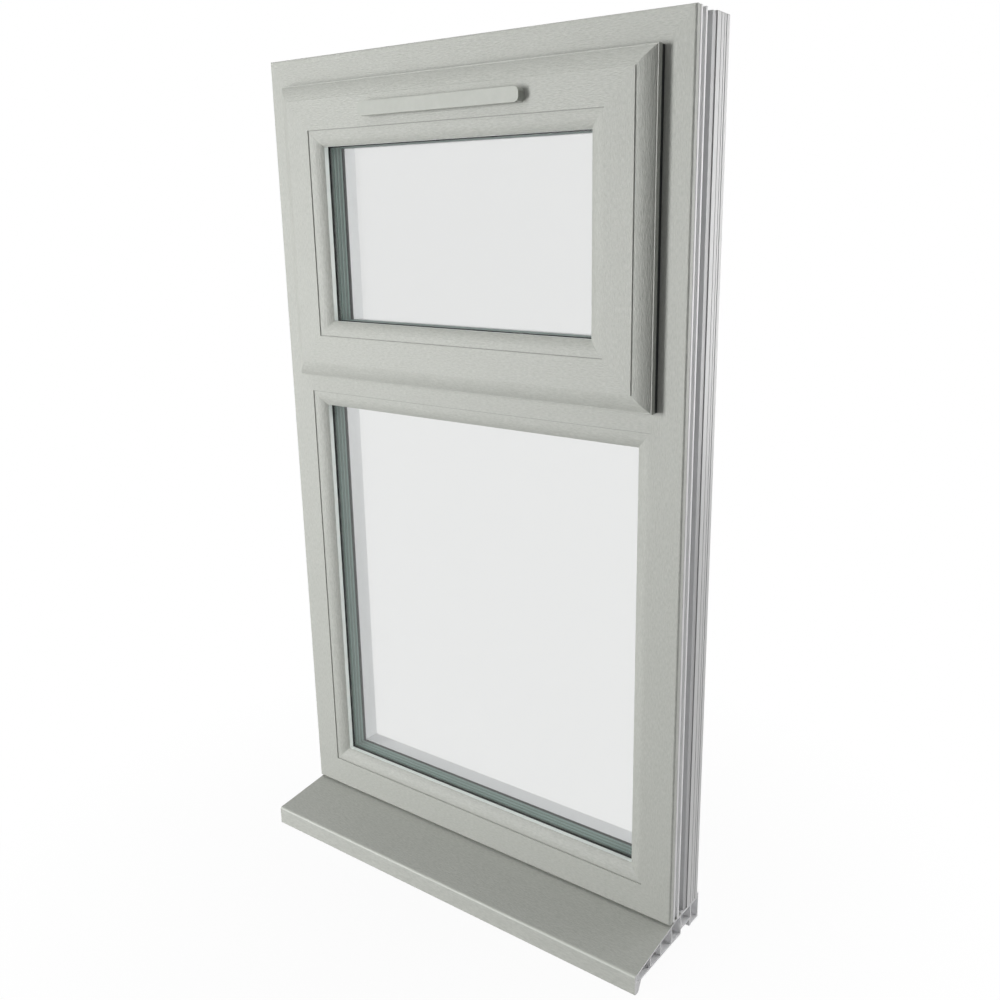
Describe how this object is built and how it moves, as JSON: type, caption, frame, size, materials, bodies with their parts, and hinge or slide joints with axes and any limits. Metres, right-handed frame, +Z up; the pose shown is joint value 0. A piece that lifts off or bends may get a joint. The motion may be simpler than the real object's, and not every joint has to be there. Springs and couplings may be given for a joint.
{
  "type": "top-hung window",
  "caption": "Top-hung plastic window with a fixed light below, an outward-opening sash on friction stays, sealed glass units, a ventilator and a projecting cill.",
  "frame": {"origin": "on the cill's flat underside, below the frame's outer face and midway across", "axes": "+Z up, +X to the right seen from outside, +Y from outside to inside"},
  "size_m": [0.61, 0.1594, 1.052],
  "materials": {
    "foil": "satin woodgrain foil outside, plain white inside",
    "white": "smooth",
    "handle_white": "smooth powder coat",
    "pale_gasket": "satin",
    "black_gasket": "matt",
    "pane": "clear",
    "spacer": "satin",
    "edge_seal": "matt",
    "block": "moulded",
    "steel": "brushed or zinc plated"
  },
  "bodies": {
    "frame": {"frame_head": "foil", "frame_jamb_left": "foil", "frame_jamb_right": "foil", "frame_bottom_rail": "foil", "transom": "foil", "cill": "foil", "fixed_bead_top": "foil", "fixed_bead_bottom": "foil", "fixed_bead_left": "foil", "fixed_bead_right": "foil", "fixed_outer_gasket": "pale_gasket", "fixed_inner_gasket": "black_gasket", "frame_seal": "black_gasket", "fixed_outer_pane": "pane", "fixed_inner_pane": "pane", "fixed_spacer": "spacer", "fixed_edge_seal": "edge_seal", "fixed_setting_blocks": "block", "jamb_steel_left": "steel", "jamb_steel_right": "steel", "transom_steel": "steel", "stay_track_left": "steel", "stay_track_right": "steel", "stay_track_screws": "steel", "lock_keep_left": "steel", "lock_keep_right": "steel"},
    "stay_short_arms": {"stay_short_arm_left": "steel", "stay_short_arm_right": "steel"},
    "stay_long_arms": {"stay_long_arm_left": "steel", "stay_long_arm_right": "steel"},
    "sash": {"sash_top_rail": "foil", "sash_bottom_rail": "foil", "sash_stile_left": "foil", "sash_stile_right": "foil", "sash_bead_top": "foil", "sash_bead_bottom": "foil", "sash_bead_left": "foil", "sash_bead_right": "foil", "vent_canopy": "foil", "vent_body": "white", "handle_base": "handle_white", "sash_outer_gasket": "pale_gasket", "sash_inner_gasket": "black_gasket", "sash_weather_seal": "black_gasket", "sash_outer_pane": "pane", "sash_inner_pane": "pane", "sash_spacer": "spacer", "sash_edge_seal": "edge_seal", "sash_setting_blocks": "block", "stay_sash_bar_left": "steel", "stay_sash_bar_right": "steel", "lock_faceplate": "steel", "lock_gearbox": "steel"},
    "handle": {"handle_lever": "handle_white", "handle_spindle": "steel"},
    "lock_slide": {"lock_rod": "steel", "lock_cams": "steel"},
    "vent_slide": {"vent_shutter": "white"}
  },
  "joints": [
    {"name": "stay_lift", "type": "hinge", "parent": "frame", "child": "stay_short_arms", "pos_m": [0, 0.015, 0.9328], "axis": [1, 0, 0], "range_deg": [0, 54.47]},
    {"name": "sash_open", "type": "hinge", "parent": "stay_short_arms", "child": "sash", "pos_m": [0, 0.015, 0.9648], "axis": [-1, 0, 0], "range_deg": [0, 84.42]},
    {"name": "stay_brace", "type": "hinge", "parent": "frame", "child": "stay_long_arms", "pos_m": [0, 0.015, 0.7598], "axis": [1, 0, 0], "range_deg": [0, 18.11]},
    {"name": "handle_turn", "type": "hinge", "parent": "sash", "child": "handle", "pos_m": [0, 0.042, 0.68865], "axis": [0, -1, 0], "range_deg": [0, 90]},
    {"name": "lock_throw", "type": "slide", "parent": "sash", "child": "lock_slide", "axis": [1, 0, 0], "range_m": [0, 0.01802]},
    {"name": "vent_open", "type": "slide", "parent": "sash", "child": "vent_slide", "axis": [1, 0, 0], "range_m": [0, 0.0088]}
  ],
  "couplings": [
    {"joint": "stay_lift", "follows": "sash_open", "ratio": 0.64463},
    {"joint": "stay_brace", "follows": "sash_open", "ratio": 0.21393},
    {"joint": "lock_throw", "follows": "handle_turn", "m_per_rad": 0.011459}
  ]
}
